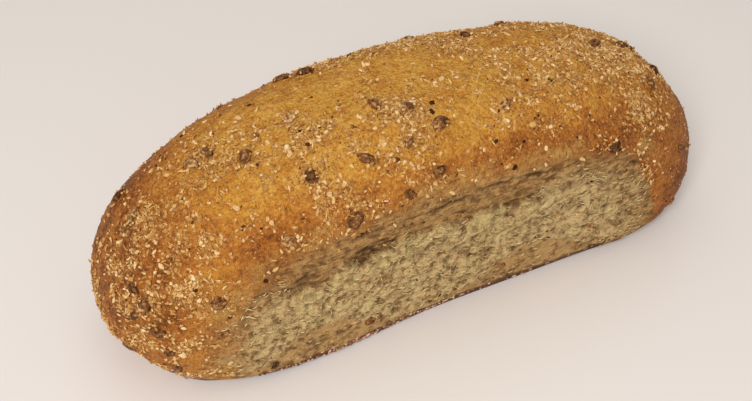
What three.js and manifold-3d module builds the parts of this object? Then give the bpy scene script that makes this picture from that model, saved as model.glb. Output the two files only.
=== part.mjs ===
// A wholegrain tin loaf that was baked against its neighbour and pulled away from it.
// It is one closed solid: a crusted body with rounded ends, a domed crown and a flat
// bottom crust, and one long side torn flat where the two loaves had grown together.
//
// Millimetres. +X runs along the loaf, +Z is up and the torn side faces -Y. The origin
// is on the bottom crust, in the middle of the loaf's length and width.

import * as THREE from 'three';
import { mergeVertices } from 'three/addons/utils/BufferGeometryUtils.js';
import Module from 'manifold-3d';

// Driving dimensions
const LENGTH = 290;
const HEIGHT = 105;
const BACK_REACH = 61; // from the long axis to the back crust, at the waist
const TEAR_REACH = 42; // from the long axis to the foot of the torn side
const TEAR_LEAN = THREE.MathUtils.degToRad(7.4); // the torn side's top leans outwards
const WAIST_HEIGHT = 28; // the level at which the loaf is widest
const FOOT_DEPTH = 64; // how far below the waist the foot's curve would close
const CROWN_SHIFT = -4; // how far the top of the crown lies towards the torn side
const END_SPREAD = 0.03; // share by which the +X end is wider than the middle
const END_DROP = 0.03; // share by which the +X end's crown is lower than the middle

// Roundness: 2 gives an ellipse, and a larger number a squarer curve
const END_ROUNDNESS = 2.3;
const SIDE_ROUNDNESS = 2.7;
const CROWN_ROUNDNESS = 2.1;
const FOOT_ROUNDNESS = 1.9;

// Fineness of the surface
const STEPS_AROUND = 112;
const FOOT_RINGS = 5;
const CROWN_RINGS = 28;

const CRUST = new THREE.MeshStandardMaterial({
  name: 'crust',
  color: 0xb9783a,
  roughness: 0.72,
  metalness: 0,
});

/** Raises a number's size to a power and keeps its sign. */
function signedPower(value, exponent) {
  return Math.sign(value) * Math.abs(value) ** exponent;
}

/**
 * One point of the crust. The surface is a superellipsoid whose roundness differs
 * along the loaf, across it and upwards: turn goes round it and lift goes from the
 * waist, at 0, to the top of the crown, at a quarter turn. Below 0 it follows the foot.
 */
function crustPoint(turn, lift) {
  const reach = Math.cos(lift);
  const along = signedPower(reach * Math.cos(turn), 2 / END_ROUNDNESS);
  const across = signedPower(reach * Math.sin(turn), 2 / SIDE_ROUNDNESS);
  const roundness = lift > 0 ? CROWN_ROUNDNESS : FOOT_ROUNDNESS;
  const up = signedPower(Math.sin(lift), 2 / roundness);
  const rise = lift > 0 ? (HEIGHT - WAIST_HEIGHT) * (1 - END_DROP * along) : FOOT_DEPTH;
  return new THREE.Vector3(
    (LENGTH / 2) * along,
    BACK_REACH * (1 + END_SPREAD * along) * across + CROWN_SHIFT * Math.max(up, 0),
    WAIST_HEIGHT + rise * up,
  );
}

/** The lift of each ring, from the edge of the bottom crust to just below the crown's top. */
function ringLifts() {
  const bottom = -Math.asin((WAIST_HEIGHT / FOOT_DEPTH) ** (FOOT_ROUNDNESS / 2));
  const foot = Array.from({ length: FOOT_RINGS }, (_, i) => bottom * (1 - i / FOOT_RINGS));
  const crown = Array.from({ length: CROWN_RINGS }, (_, i) => (Math.PI / 2) * (i / CROWN_RINGS));
  return [...foot, ...crown];
}

/** The whole body before it is torn: rings of crust, closed by the crown and the bottom. */
function untornBody() {
  const lifts = ringLifts();
  const points = [new THREE.Vector3(0, 0, 0)];
  for (const lift of lifts) {
    for (let i = 0; i < STEPS_AROUND; i += 1) {
      points.push(crustPoint((2 * Math.PI * i) / STEPS_AROUND, lift));
    }
  }
  points.push(crustPoint(0, Math.PI / 2));

  const crownTop = points.length - 1;
  const at = (ring, step) => 1 + ring * STEPS_AROUND + (step % STEPS_AROUND);
  const triangles = [];
  for (let i = 0; i < STEPS_AROUND; i += 1) {
    triangles.push(0, at(0, i + 1), at(0, i));
    for (let ring = 0; ring + 1 < lifts.length; ring += 1) {
      triangles.push(at(ring, i), at(ring, i + 1), at(ring + 1, i + 1));
      triangles.push(at(ring, i), at(ring + 1, i + 1), at(ring + 1, i));
    }
    triangles.push(at(lifts.length - 1, i), at(lifts.length - 1, i + 1), crownTop);
  }
  const body = new THREE.BufferGeometry().setFromPoints(points);
  body.setIndex(triangles);
  return body;
}

/** The block of bread beyond the tear, which went with the neighbouring loaf. */
function neighbourBlock() {
  const size = 2 * LENGTH;
  const block = new THREE.BoxGeometry(size, size, size);
  block.translate(0, -size / 2, 0);
  block.rotateX(TEAR_LEAN);
  block.translate(0, -TEAR_REACH, 0);
  block.deleteAttribute('normal');
  block.deleteAttribute('uv');
  return mergeVertices(block);
}

const wasm = await Module();
wasm.setup();

/** The solid that a closed geometry bounds. */
function solidOf(geometry) {
  const vertProperties = new Float32Array(geometry.getAttribute('position').array);
  const triVerts = new Uint32Array(geometry.getIndex().array);
  return new wasm.Manifold(new wasm.Mesh({ numProp: 3, vertProperties, triVerts }));
}

/** The geometry of a solid's surface. */
function geometryOf(solid) {
  const surface = solid.getMesh();
  const geometry = new THREE.BufferGeometry();
  geometry.setAttribute('position', new THREE.BufferAttribute(surface.vertProperties, 3));
  geometry.setIndex(new THREE.BufferAttribute(surface.triVerts, 1));
  return geometry;
}

/** The torn loaf, centred over the origin in plan. */
function tornLoaf() {
  const geometry = geometryOf(solidOf(untornBody()).subtract(solidOf(neighbourBlock())));
  geometry.computeBoundingBox();
  const middle = geometry.boundingBox.getCenter(new THREE.Vector3());
  geometry.translate(-middle.x, -middle.y, 0);
  geometry.computeVertexNormals();
  return geometry;
}

const loaf = new THREE.Mesh(tornLoaf(), CRUST);
loaf.name = 'loaf';

const tinLoaf = new THREE.Group();
tinLoaf.name = 'tin_loaf';
tinLoaf.add(loaf);

export default tinLoaf;
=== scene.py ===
"""A wholegrain tin loaf, torn from its neighbour along one long side.

The loaf is one closed surface with its crust, its torn side and its bottom worked out as
arrays. Bran, meal, malted kernels and dark seeds are baked into it, and shreds of crumb
stand on the torn side. Metres, +Z up, +X along the loaf, the torn side towards -Y.
"""

import itertools
import logging
import math
from dataclasses import dataclass
from enum import Enum
from typing import Any

import bpy
import numpy as np
from mathutils import Matrix, Vector


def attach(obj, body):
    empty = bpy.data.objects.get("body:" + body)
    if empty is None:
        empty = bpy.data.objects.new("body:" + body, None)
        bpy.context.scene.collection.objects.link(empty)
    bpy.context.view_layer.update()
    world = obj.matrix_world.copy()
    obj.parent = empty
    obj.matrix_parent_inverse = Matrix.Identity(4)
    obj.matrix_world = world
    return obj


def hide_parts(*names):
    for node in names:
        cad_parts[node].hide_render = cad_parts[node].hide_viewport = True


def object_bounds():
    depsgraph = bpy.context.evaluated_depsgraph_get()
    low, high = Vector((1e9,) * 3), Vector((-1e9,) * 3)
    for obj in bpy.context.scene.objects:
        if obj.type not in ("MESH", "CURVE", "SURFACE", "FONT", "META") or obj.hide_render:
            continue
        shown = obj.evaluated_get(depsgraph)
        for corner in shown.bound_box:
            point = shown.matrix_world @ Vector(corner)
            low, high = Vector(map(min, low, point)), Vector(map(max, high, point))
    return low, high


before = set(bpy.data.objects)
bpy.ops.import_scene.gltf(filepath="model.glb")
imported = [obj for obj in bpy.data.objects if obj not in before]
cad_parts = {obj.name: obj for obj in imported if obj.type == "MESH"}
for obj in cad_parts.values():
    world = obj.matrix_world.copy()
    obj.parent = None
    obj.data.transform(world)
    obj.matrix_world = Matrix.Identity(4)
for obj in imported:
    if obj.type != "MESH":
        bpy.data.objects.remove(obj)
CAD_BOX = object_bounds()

LOG = logging.getLogger("tin_loaf")
MM = 0.001
BODY = "root"
NODE = "loaf"
BAKE_MAP = "OFBake"
Array = np.ndarray
Colour = tuple[float, float, float, float]


def tint(red: int, green: int, blue: int) -> Colour:
    """The linear colour of a paint chip given as screen values from 0 to 255."""
    linear = [((c / 255 + 0.055) / 1.055) ** 2.4 for c in (red, green, blue)]
    return (linear[0], linear[1], linear[2], 1.0)


def signed_power(value: Array, exponent: Array | float) -> Array:
    """Raises the size of each value to a power and keeps its sign."""
    return np.sign(value) * np.abs(value) ** exponent


def soft_max(first: Array, second: Array | float, reach: float) -> Array:
    """The larger of two values, with the corner between them rounded over a reach.

    Args:
        first: One set of values.
        second: The other set, or one value.
        reach: How far apart the two are where the rounding starts.

    Returns:
        The larger value plus a quarter of the reach times the square of the closeness.
    """
    closeness = np.maximum(reach - np.abs(first - second), 0) / reach
    return np.maximum(first, second) + closeness**2 * reach / 4


def ease(value: Array, start: float | Array, end: float | Array) -> Array:
    """Goes from 0 at start to 1 at end along the curve 3t^2 - 2t^3; start may be above end."""
    share = np.clip((value - start) / (end - start), 0, 1)
    return share * share * (3 - 2 * share)


def bell(value: Array, middle: float, reach: float, power: int = 2) -> Array:
    """Falls from 1 at the middle: e to minus the distance, in reaches, raised to a power."""
    return np.exp(-(np.abs((value - middle) / reach) ** power))


class LatticeNoise:
    """A smooth random field in space: random slopes on a cubic lattice, eased between."""

    SIZE = 256
    GAIN = 1.7

    def __init__(self, seed: int) -> None:
        """Draws the lattice's order and slopes.

        Args:
            seed: What the random numbers start from.
        """
        draw = np.random.default_rng(seed)
        self.order = draw.permutation(self.SIZE)
        slopes = draw.normal(size=(self.SIZE, 3))
        self.slopes = slopes / np.linalg.norm(slopes, axis=1, keepdims=True)

    def pick(self, cell: Array) -> Array:
        """The table entry of each lattice corner: the order's entries, chained over x, y, z.

        Args:
            cell: Whole numbers, as an array whose last axis is x, y, z.

        Returns:
            One entry for each corner.
        """
        cell = cell % self.SIZE
        mixed = (self.order[cell[..., 0]] + cell[..., 1]) % self.SIZE
        mixed = (self.order[mixed] + cell[..., 2]) % self.SIZE
        return self.order[mixed]

    def at(self, points: Array, wave: float | tuple[float, float, float]) -> Array:
        """The field, from about -1 to 1.

        Each corner of a place's cell gives its slope times the way from it; the eight are
        added up by weights that ease from one corner to the next as 6t^5 - 15t^4 + 10t^3.

        Args:
            points: Places, as an array whose last axis is x, y, z.
            wave: The length of one swell, or one length for each axis.

        Returns:
            One value for each place.
        """
        scaled = points / np.asarray(wave)
        base = np.floor(scaled).astype(int)
        part = scaled - base
        blend = part * part * part * (part * (part * 6 - 15) + 10)
        total = np.zeros(points.shape[:-1])
        for corner in itertools.product((0, 1), repeat=3):
            slope = self.slopes[self.pick(base + corner)]
            weight = np.where(corner, blend, 1 - blend).prod(axis=-1)
            total += weight * ((part - corner) * slope).sum(axis=-1)
        return self.GAIN * total

    def layered(self, points: Array, wave: float | tuple, layers: int) -> Array:
        """Layers of the field, each with half the wave and half the height of the last."""
        lengths = np.asarray(wave, float)
        return sum(self.at(points, lengths / 2**i) / 2**i for i in range(layers))


class CellNoise:
    """Random dots in space, one in each cell of a cubic lattice."""

    def __init__(self, seed: int) -> None:
        """Makes the lattice that the dots' places are drawn from.

        Args:
            seed: What the random numbers start from.
        """
        self.lattice = LatticeNoise(seed)
        draw = np.random.default_rng(seed + 1)
        self.shifts = draw.random((LatticeNoise.SIZE, 3))
        self.marks = draw.random(LatticeNoise.SIZE)

    def nearest(self, points: Array, wave: float | tuple) -> tuple[Array, Array]:
        """How far each place is from its nearest dot.

        Args:
            points: Places, as an array whose last axis is x, y, z.
            wave: The size of a cell, or one size for each axis.

        Returns:
            The distance in cells, and that dot's own random mark from 0 to 1.
        """
        scaled = points / np.asarray(wave)
        base = np.floor(scaled).astype(int)
        part = scaled - base
        best = np.full(points.shape[:-1], np.inf)
        mark = np.zeros(points.shape[:-1])
        for step in itertools.product((-1, 0, 1), repeat=3):
            entry = self.lattice.pick(base + step)
            gap = np.linalg.norm(step + self.shifts[entry] - part, axis=-1)
            nearer = gap < best
            best = np.where(nearer, gap, best)
            mark = np.where(nearer, self.marks[entry], mark)
        return best, mark


class Flow:
    """A number that varies over a surface: a node's socket that sums can be written with."""

    def __init__(self, book: "NodeBook", socket: bpy.types.NodeSocket) -> None:
        """Wraps an output socket of one of the book's nodes."""
        self.book = book
        self.socket = socket

    def maths(self, operation: str, *values: Any, clamp: bool = False) -> "Flow":
        """Adds a Math node.

        Args:
            operation: What the node works out.
            values: The numbers or Flows that it works on, in order.
            clamp: Whether the result is kept from 0 to 1.

        Returns:
            The result.
        """
        settings = {"operation": operation, "use_clamp": clamp}
        return self.book.flow("ShaderNodeMath", settings, dict(enumerate(values)))

    def __add__(self, other: Any) -> "Flow":
        """This plus another value."""
        return self.maths("ADD", self, other)

    __radd__ = __add__

    def __mul__(self, other: Any) -> "Flow":
        """This times another value."""
        return self.maths("MULTIPLY", self, other)

    __rmul__ = __mul__

    def __sub__(self, other: Any) -> "Flow":
        """This less another value."""
        return self.maths("SUBTRACT", self, other)

    def __rsub__(self, other: Any) -> "Flow":
        """Another value less this."""
        return self.maths("SUBTRACT", other, self)

    def held(self) -> "Flow":
        """This kept from 0 to 1."""
        return self.maths("ADD", self, 0.0, clamp=True)

    def ease(self, start: float, end: float) -> "Flow":
        """Goes smoothly from 0 to 1.

        Args:
            start: Where the result is 0, which may be above end.
            end: Where the result is 1.

        Returns:
            The eased value.
        """
        low, high = min(start, end), max(start, end)
        at_low, at_high = (0.0, 1.0) if start < end else (1.0, 0.0)
        inputs = {0: self, 1: low, 2: high, 3: at_low, 4: at_high}
        return self.book.flow("ShaderNodeMapRange", {"interpolation_type": "SMOOTHSTEP"}, inputs)


class NodeBook:
    """The nodes of one material, with its main shader ready to be filled in."""

    def __init__(self, name: str, **constants: Any) -> None:
        """Makes a material with its main shader.

        Args:
            name: The material's name.
            constants: What the shader's sockets hold, named with underscores for spaces.
        """
        self.material = bpy.data.materials.new(name)
        self.material.use_nodes = True
        self.tree = self.material.node_tree
        self.shader = self.tree.nodes["Principled BSDF"]
        for socket, value in constants.items():
            self.shader.inputs[socket.replace("_", " ")].default_value = value

    @staticmethod
    def join(value: Any, target: bpy.types.NodeSocket) -> None:
        """Links or sets one input.

        Args:
            value: A number, a colour, a Flow or another node's socket.
            target: The input that takes it.
        """
        if isinstance(value, Flow):
            value = value.socket
        if isinstance(value, bpy.types.NodeSocket):
            target.id_data.links.new(value, target)
        else:
            target.default_value = value

    def node(self, kind: str, settings: dict[str, Any], inputs: dict[Any, Any]) -> bpy.types.Node:
        """Adds any node.

        Args:
            kind: Blender's name of the node's type.
            settings: The node's own settings, set before its sockets; stops fills a ramp.
            inputs: A value, a Flow or a socket for each input, by name or by number.

        Returns:
            The node.
        """
        node = self.tree.nodes.new(kind)
        for name, value in settings.items():
            if name == "stops":
                self.fill_ramp(node.color_ramp, value)
            else:
                setattr(node, name, value)
        for name, value in inputs.items():
            self.join(value, node.inputs[name])
        return node

    @staticmethod
    def fill_ramp(ramp: bpy.types.ColorRamp, stops: list[tuple[float, Colour]]) -> None:
        """Gives a colour ramp its stops.

        Args:
            ramp: The ramp, which has two stops to begin with.
            stops: Each stop's place and colour, from low to high.
        """
        for _ in stops[2:]:
            ramp.elements.new(0.5)
        for element, (place, colour) in zip(ramp.elements, stops):
            element.position = place
            element.color = colour

    def flow(self, kind: str, settings: dict[str, Any], inputs: dict[Any, Any]) -> Flow:
        """Adds a node and returns its first output as a Flow."""
        return Flow(self, self.node(kind, settings, inputs).outputs[0])

    def places(self) -> bpy.types.NodeSocket:
        """The surface's own coordinates."""
        return self.node("ShaderNodeTexCoord", {}, {}).outputs["Object"]

    def stretched(self, places: Any, scale: tuple[float, float, float]) -> bpy.types.NodeSocket:
        """Coordinates multiplied along each axis, so that a pattern on them is drawn out."""
        inputs = {0: places, 1: scale}
        return self.node("ShaderNodeVectorMath", {"operation": "MULTIPLY"}, inputs).outputs[0]

    def painted(self, name: str) -> Flow:
        """A value that the mesh carries at each of its points."""
        node = self.node("ShaderNodeAttribute", {"attribute_name": name}, {})
        return Flow(self, node.outputs["Fac"])

    def noise(self, places: Any, wave: float, detail: float = 2.0, rough: float = 0.5) -> Flow:
        """A soft random pattern, from 0 to 1, with swells of about one wave."""
        inputs = {"Vector": places, "Scale": 1 / wave, "Detail": detail, "Roughness": rough}
        return self.flow("ShaderNodeTexNoise", {}, inputs)

    def dots(self, places: Any, wave: float, radius: float, share: float) -> Flow:
        """Round dots, 1 inside and 0 outside, each soft from its radius to 0.4 of it.

        Args:
            places: The coordinates that the dots are drawn on.
            wave: The size of the cells that hold a dot each.
            radius: The dots' radius.
            share: The share of cells whose dot is drawn.

        Returns:
            The dots.
        """
        node = self.node("ShaderNodeTexVoronoi", {}, {"Vector": places, "Scale": 1 / wave})
        gap = Flow(self, node.outputs["Distance"])
        chance = self.flow("ShaderNodeSeparateColor", {}, {0: node.outputs["Color"]})
        return gap.ease(radius / wave, 0.4 * radius / wave) * chance.ease(share, share - 0.1)

    def blend(self, share: Flow | float, first: Any, second: Any, how: str = "MIX") -> Any:
        """Mixes two colours by a share, in the way that how names."""
        settings = {"data_type": "RGBA", "blend_type": how}
        return self.node("ShaderNodeMix", settings, {0: share, 6: first, 7: second}).outputs[2]

    def ramp(self, value: Flow, stops: list[tuple[float, Colour]]) -> Any:
        """The colour that a value has on a ramp of stops."""
        return self.node("ShaderNodeValToRGB", {"stops": stops}, {0: value}).outputs[0]

    def finish(
        self, colour: Any, roughness: Any, height: Flow | None = None, depth: float = 0.0
    ) -> bpy.types.Material:
        """Joins the colour, the roughness and the fine relief to the shader.

        Args:
            colour: A colour or a colour socket.
            roughness: A number or a Flow.
            height: The fine relief from 0 to 1, or None.
            depth: How deep the relief is in metres.

        Returns:
            The material.
        """
        targets = {"Base Color": colour, "Roughness": roughness}
        if height is not None:
            inputs = {"Strength": 1.0, "Distance": depth, "Height": height}
            targets["Normal"] = self.flow("ShaderNodeBump", {}, inputs)
        for name, value in targets.items():
            self.join(value, self.shader.inputs[name])
        return self.material


@dataclass(frozen=True)
class LoafFinish:
    """Crust, crumb and the skin between them, mixed by what the mesh carries."""

    honey: Colour = tint(233, 178, 82)
    gold: Colour = tint(215, 152, 59)
    amber: Colour = tint(195, 124, 50)
    russet: Colour = tint(168, 98, 37)
    scorched: Colour = tint(116, 63, 25)
    straw: Colour = tint(238, 202, 132)
    chaff: Colour = tint(188, 144, 88)
    # painted shade colour between the bran flakes
    gap: Colour = tint(122, 74, 38)
    rim: Colour = tint(200, 156, 86)
    # painted shade colour of the crust's small pores
    pore: Colour = tint(74, 38, 18)
    crumb: Colour = tint(224, 192, 136)
    crumb_pale: Colour = tint(222, 196, 139)
    crumb_shade: Colour = tint(146, 109, 67)
    crumb_gold: Colour = tint(224, 200, 130)
    skin: Colour = tint(202, 158, 98)
    skin_shade: Colour = tint(120, 84, 49)
    strip: Colour = tint(204, 161, 102)
    strip_shade: Colour = tint(114, 78, 46)
    # painted shade: the dark brown that hollows and pores are darkened towards
    shade_brown: Colour = tint(74, 48, 28)
    foot: Colour = tint(92, 56, 42)

    def crust_colour(self, book: NodeBook, places: Any) -> Any:
        """Golden to scorched by the bake, speckled, mottled and dusted, with painted shade between
        the bran flakes and in small pores.

        Args:
            book: The material's nodes.
            places: The coordinates that the patterns lie on.

        Returns:
            The colour's socket.
        """
        mottle = book.noise(places, 9 * MM, 3.0, 0.5) * 0.7 - 0.35
        dust = book.painted("dust")
        speckle = (book.noise(places, 1.4 * MM, 4.0, 0.8) - 0.5) * (dust * 1.8 + 1.7)
        bake = (book.painted("bake") + mottle + speckle).held()
        stops = [(0.0, self.honey), (0.28, self.gold), (0.52, self.amber)]
        colour = book.ramp(bake, stops + [(0.78, self.russet), (1.0, self.scorched)])
        powder = dust * book.noise(places, 1.5 * MM, 3.0, 0.7).ease(0.42, 0.6)
        colour = book.blend(powder * 0.6, colour, self.chaff)
        # painted shade: dark brown between the bran flakes, most where bran lies thick
        painted_flake_shade = (dust + 0.2) * book.noise(places, 1.4 * MM, 4.0, 0.7).ease(0.52, 0.62)
        colour = book.blend(painted_flake_shade * 0.7, colour, self.gap)
        ragged = book.noise(places, 2.0 * MM, 4.0, 0.7).ease(0.36, 0.6)
        colour = book.blend(book.painted("rim") * ragged, colour, self.rim)
        flecks = book.dots(places, 1.6 * MM, 0.55 * MM, 0.4)
        colour = book.blend(flecks * (dust * 0.6 + 0.22), colour, self.straw)
        # painted shade: small dark dots for the shade inside the crust's pores
        pores = book.dots(book.stretched(places, (-1.0, 1.0, 1.0)), 2.1 * MM, 0.5 * MM, 0.42)
        return book.blend(pores * 0.45, colour, self.pore)

    def torn_colour(self, book: NodeBook, places: Any) -> Any:
        """Pale crumb, the tan skin above it and the browner strip at its foot, with painted shade in
        the crumb's pores.

        Args:
            book: The material's nodes.
            places: The coordinates that the patterns lie on.

        Returns:
            The colour's socket.
        """
        drawn = book.stretched(places, (0.3, 1.0, 1.0))
        fluff = book.noise(places, 3.8 * MM, 5.0, 0.66)
        streak = book.noise(drawn, 1.3 * MM, 5.0, 0.75) * 0.55 + fluff * 0.45
        patch = book.noise(places, 11 * MM, 4.0, 0.6)
        skin = book.blend(streak.ease(0.4, 0.6), self.skin_shade, self.skin)
        worn = (patch * 0.4 + streak * 0.6).ease(0.42, 0.54)
        strip = book.blend(worn, self.strip_shade, self.strip)
        skin = book.blend(book.painted("strip"), skin, strip)
        crumb = book.blend(fluff.ease(0.36, 0.56), self.crumb_shade, self.crumb)
        ledge = book.painted("ledge")
        pale = (patch.ease(0.5, 0.64) * fluff.ease(0.44, 0.56) + 0.6 * ledge).held()
        crumb = book.blend(pale, crumb, self.crumb_pale)
        lip = ledge * fluff.ease(0.42, 0.54)
        crumb = book.blend(lip * 0.7, crumb, self.crumb_gold)
        colour = book.blend(book.painted("crumb"), skin, crumb)
        # painted shade: round dark dots for the shade inside the crumb's pores
        pores = book.dots(book.stretched(places, (0.7, 1.0, 1.0)), 3.4 * MM, 0.7 * MM, 0.4)
        return book.blend(pores * 0.6, colour, self.shade_brown)

    def material(self) -> bpy.types.Material:
        """Builds the loaf's material: crust and torn side by the mesh's share of each.

        Returns:
            The material.
        """
        book = NodeBook("loaf_crust_and_crumb", IOR=1.45, Specular_IOR_Level=0.2)
        places = book.places()
        torn = book.painted("torn")
        colour = book.blend(torn, self.crust_colour(book, places), self.torn_colour(book, places))
        # painted shade: darker in cracks, pores, the groove under the ledge and the crust's pits
        colour = book.blend(book.painted("cavity_shade"), colour, self.shade_brown)
        colour = book.blend(book.painted("foot") * 0.85, colour, self.foot)
        fine = book.noise(places, 0.9 * MM, 4.0, 0.75)
        coarse = book.noise(places, 2.9 * MM, 3.0, 0.6)
        relief = fine * 0.4 + coarse * (1.1 - 0.1 * torn)
        roughness = 0.5 + 0.4 * torn + 0.1 * coarse
        return book.finish(colour, roughness.held(), relief, 2.4 * MM)


@dataclass(frozen=True)
class GrainFinish:
    """A dry plant scrap: dark to light by each scrap's own tone, with fine marks."""

    name: str
    dark: Colour
    middle: Colour
    light: Colour
    roughness: float = 0.65
    mark_wave: float = 0.8 * MM
    mark_depth: float = 0.15 * MM
    contrast: float = 1.2
    gloss: float = 0.15

    def material(self) -> bpy.types.Material:
        """Builds the scraps' material: a ramp from dark to light by tone plus marks.

        Returns:
            The material.
        """
        book = NodeBook(self.name, IOR=1.45, Specular_IOR_Level=self.gloss)
        marks = book.noise(book.places(), self.mark_wave, 4.0, 0.7)
        tone = (book.painted("tone") + marks * self.contrast - self.contrast / 2).held()
        colour = book.ramp(tone, [(0.0, self.dark), (0.5, self.middle), (1.0, self.light)])
        return book.finish(colour, self.roughness, marks, self.mark_depth)


@dataclass(frozen=True)
class TableFinish:
    """A smooth pale table top with faint clouding."""

    light: Colour = tint(239, 234, 231)
    dark: Colour = tint(235, 229, 226)

    def material(self) -> bpy.types.Material:
        """Builds the table's material.

        Returns:
            The material.
        """
        book = NodeBook("pale_table", IOR=1.45)
        cloud = book.noise(book.places(), 0.35, 3.0, 0.5)
        colour = book.blend(cloud, self.dark, self.light)
        return book.finish(colour, 0.6)


def build_piece(
    name: str,
    points: Array,
    faces: list[Array],
    corner_map: Array,
    values: dict[str, Array],
    material: bpy.types.Material,
    smooth: bool = True,
) -> bpy.types.Object:
    """Puts computed arrays into a mesh object at the origin, riding on the loaf's body.

    Args:
        name: The piece's name.
        points: Every vertex, in metres.
        faces: Arrays of vertex numbers, one row for each face.
        corner_map: The flat map's place of each face corner, in the faces' order.
        values: What the mesh carries at each vertex, by name.
        material: The piece's finish.
        smooth: Whether its faces are shaded smoothly.

    Returns:
        The object.
    """
    mesh = bpy.data.meshes.new(name)
    corners = np.concatenate([f.ravel() for f in faces]).astype(np.int32)
    sizes = np.concatenate([np.full(len(f), f.shape[1]) for f in faces]).astype(np.int32)
    mesh.vertices.add(len(points))
    mesh.vertices.foreach_set("co", points.astype(np.float32).ravel())
    mesh.loops.add(len(corners))
    mesh.loops.foreach_set("vertex_index", corners)
    mesh.polygons.add(len(sizes))
    mesh.polygons.foreach_set("loop_start", np.concatenate([[0], np.cumsum(sizes)[:-1]]))
    mesh.polygons.foreach_set("use_smooth", np.full(len(sizes), smooth))
    mesh.update(calc_edges=True)
    mesh.uv_layers.new(name=BAKE_MAP).data.foreach_set("uv", corner_map.astype(np.float32).ravel())
    for title, value in values.items():
        layer = mesh.attributes.new(title, "FLOAT", "POINT")
        layer.data.foreach_set("value", value.astype(np.float32).ravel())
    mesh.materials.append(material)
    piece = bpy.data.objects.new(name, mesh)
    bpy.context.scene.collection.objects.link(piece)
    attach(piece, BODY)
    return piece


@dataclass(frozen=True)
class Swell:
    """A rise along the loaf: how high it is, where its middle is and how far it reaches."""

    height: float
    middle: float
    reach: float
    power: int = 2

    def at(self, along: Array) -> Array:
        """Its height at each place: the height times a bell round the middle."""
        return self.height * bell(along, self.middle, self.reach, self.power)


@dataclass(frozen=True)
class LoafShape:
    """The loaf's smooth form: a superellipsoid, stood on its foot and torn flat in front.

    Sizes are metres. A roundness of 2 gives an ellipse, and a larger one a squarer curve.
    """

    length: float
    height: float
    back_reach: float
    tear_reach: float
    tear_slope: float = math.tan(math.radians(7.4))
    waist: float = 28 * MM
    foot_depth: float = 64 * MM
    crown_shift: float = -4 * MM
    crown_dip: Swell = Swell(2.4 * MM, 46 * MM, 30 * MM)
    end_spread: float = 0.055
    end_drop: float = 0.015
    end_roundness: float = 2.3
    side_roundness: float = 2.7
    crown_roundness: float = 2.1
    foot_roundness: float = 1.9
    tear_rounding: float = 7 * MM
    foot_rounding: float = 6 * MM
    foot_tuck: float = 1.0 * MM
    tuck_height: float = 6 * MM
    near_flare: Swell = Swell(5.8 * MM, -80 * MM, 56 * MM, 3)
    far_flare: Swell = Swell(3.2 * MM, 106 * MM, 24 * MM)
    drawn_corner: Swell = Swell(4 * MM, -138 * MM, 8 * MM)
    flare_height: float = 48 * MM

    @classmethod
    def within(cls, low: Vector, high: Vector) -> "LoafShape":
        """The shape that fills a box, with its reaches as shares of the box's width."""
        width = high.y - low.y
        return cls(high.x - low.x, high.z, 0.538 * width, 0.3705 * width)

    def flare(self, along: Array) -> Array:
        """How far the front's foot spreads: a long swell and a small one, less a corner."""
        near = self.near_flare.at(along) * ease(along, -134 * MM, -110 * MM)
        return near + self.far_flare.at(along) - self.drawn_corner.at(along)

    def body(self, sweep: Array, girth: Array) -> tuple[Array, Array]:
        """Points of the smooth loaf.

        The size of x, y and z, each as a share of its reach and raised to its roundness,
        adds up to 1. Sweep runs from one end to the other, from minus to plus a quarter
        turn, and girth once round the section from the middle of the bottom by the front.
        The front is cut by the tear's leaning plane and the bottom by the table, both with
        rounded corners.

        Args:
            sweep: Where along the loaf.
            girth: Where round it.

        Returns:
            The points, and how far each would stand out beyond the tear.
        """
        reach = np.cos(sweep)
        along = signed_power(np.sin(sweep), 2 / self.end_roundness)
        upward = -np.cos(girth)
        roundness = np.where(upward > 0, self.crown_roundness, self.foot_roundness)
        across = signed_power(-reach * np.sin(girth), 2 / self.side_roundness)
        up = signed_power(reach * upward, 2 / roundness)
        x = self.length / 2 * along
        crown = (self.height - self.waist) * (1 - self.end_drop * along) - self.crown_dip.at(x)
        y = self.back_reach * (1 + self.end_spread * along) * across
        y = y + self.crown_shift * np.maximum(up, 0)
        z = self.waist + np.where(upward > 0, crown, self.foot_depth) * up
        level = np.maximum(z, 0)
        tuck = self.foot_tuck * np.maximum(1 - level / self.tuck_height, 0) ** 2
        spread = self.flare(x) * np.maximum(1 - level / self.flare_height, 0)
        y = y - spread * ease(across, 0.05, -0.25)
        tear = -(self.tear_reach + self.tear_slope * level + spread) + tuck
        beyond = tear - y
        y = soft_max(y, tear, self.tear_rounding)
        z = soft_max(z, 0.0, self.foot_rounding)
        return np.stack(np.broadcast_arrays(x, y, z), axis=-1), beyond

    def even_sweeps(self, count: int) -> Array:
        """Sweeps spaced evenly along the crown's line, by its length measured on a fine trial.

        Args:
            count: How many sweeps, ends included.

        Returns:
            The sweeps.
        """
        trial = np.linspace(-math.pi / 2, math.pi / 2, 4001)
        line, _ = self.body(trial, np.full_like(trial, math.pi))
        steps = np.linalg.norm(np.diff(line, axis=0), axis=1)
        run = np.concatenate([[0], np.cumsum(steps)])
        return np.interp(np.linspace(0, run[-1], count), run, trial)

    def even_girths(self, count: int) -> Array:
        """Girths spaced evenly round the middle section, close on the tear, wide below.

        Args:
            count: How many girths.

        Returns:
            The girths, from the middle of the bottom, without the one that closes the turn.
        """
        torn_weight, bottom_weight = 1.4, 0.3
        trial = np.linspace(0, 2 * math.pi, 6001)
        line, beyond = self.body(np.zeros_like(trial), trial)
        steps = np.linalg.norm(np.diff(line, axis=0), axis=1)
        weight = np.where(beyond[1:] > 0, torn_weight, 1.0)
        weight = np.where(line[1:, 2] < 0.5 * MM, bottom_weight, weight)
        run = np.concatenate([[0], np.cumsum(steps * weight)])
        return np.interp(np.linspace(0, run[-1], count, endpoint=False), run, trial)


@dataclass(frozen=True)
class Cleft:
    """One long crack in the skin above the crumb, in millimetres.

    It runs from start to end along the loaf, an inset inside the torn side's border.
    """

    start: float
    end: float
    inset: float
    depth: float
    width: float


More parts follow.
